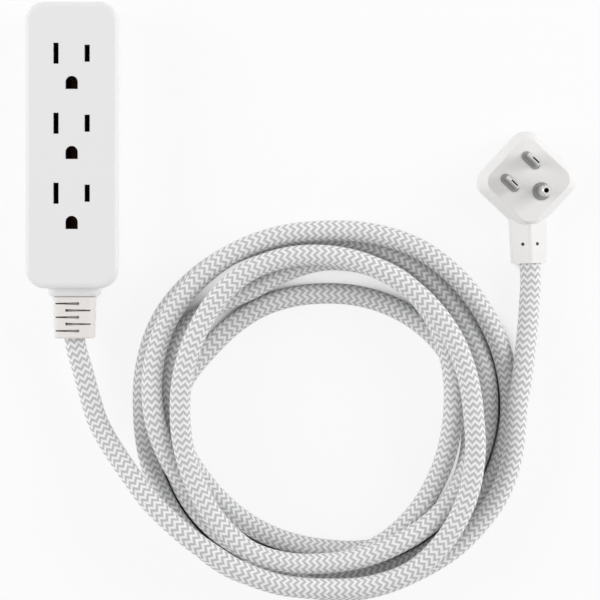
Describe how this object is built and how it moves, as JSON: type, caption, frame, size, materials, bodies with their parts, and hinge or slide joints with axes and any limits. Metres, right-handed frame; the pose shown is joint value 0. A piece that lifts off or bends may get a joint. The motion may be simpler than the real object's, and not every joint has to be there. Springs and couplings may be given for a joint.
{
  "type": "extension cord",
  "caption": "Extension cord: a flat grounded outlet strip, a ribbed boot, a loosely coiled braided cord and a slim right-angle plug turned to a diamond.",
  "frame": {"origin": "centre of the strip's back, where it lies on the surface", "axes": "+Z out of the outlet face, +Y along the strip away from the cord, +X towards the coil"},
  "size_m": [0.2271, 0.2457, 0.0347],
  "materials": {
    "shell": "satin white",
    "plug": "satin white",
    "boot": "matte warm white",
    "braid": "white and grey chevron braid",
    "housing": "matte dark brown",
    "bridge": "matte grey",
    "prong": "bright nickel",
    "brass": "plain",
    "screw": "zinc plated",
    "black_wire": "matte",
    "white_wire": "matte",
    "green_wire": "matte"
  },
  "bodies": {
    "root": {"top_shell": "shell", "bottom_shell": "shell", "shell_screws": "screw", "contact_housing": "housing", "hot_bus": "brass", "neutral_bus": "brass", "ground_bus": "brass", "hot_wire": "black_wire", "neutral_wire": "white_wire", "ground_wire": "green_wire", "wire_lugs": "brass", "cord_boot": "boot", "cord_lead": "braid", "cord_coil": "braid", "cord_tail": "braid", "plug_body": "plug", "plug_bridge": "bridge", "hot_blade": "prong", "neutral_blade": "prong", "ground_pin": "prong", "plug_hot_wire": "black_wire", "plug_neutral_wire": "white_wire", "plug_ground_wire": "green_wire"}
  },
  "joints": []
}
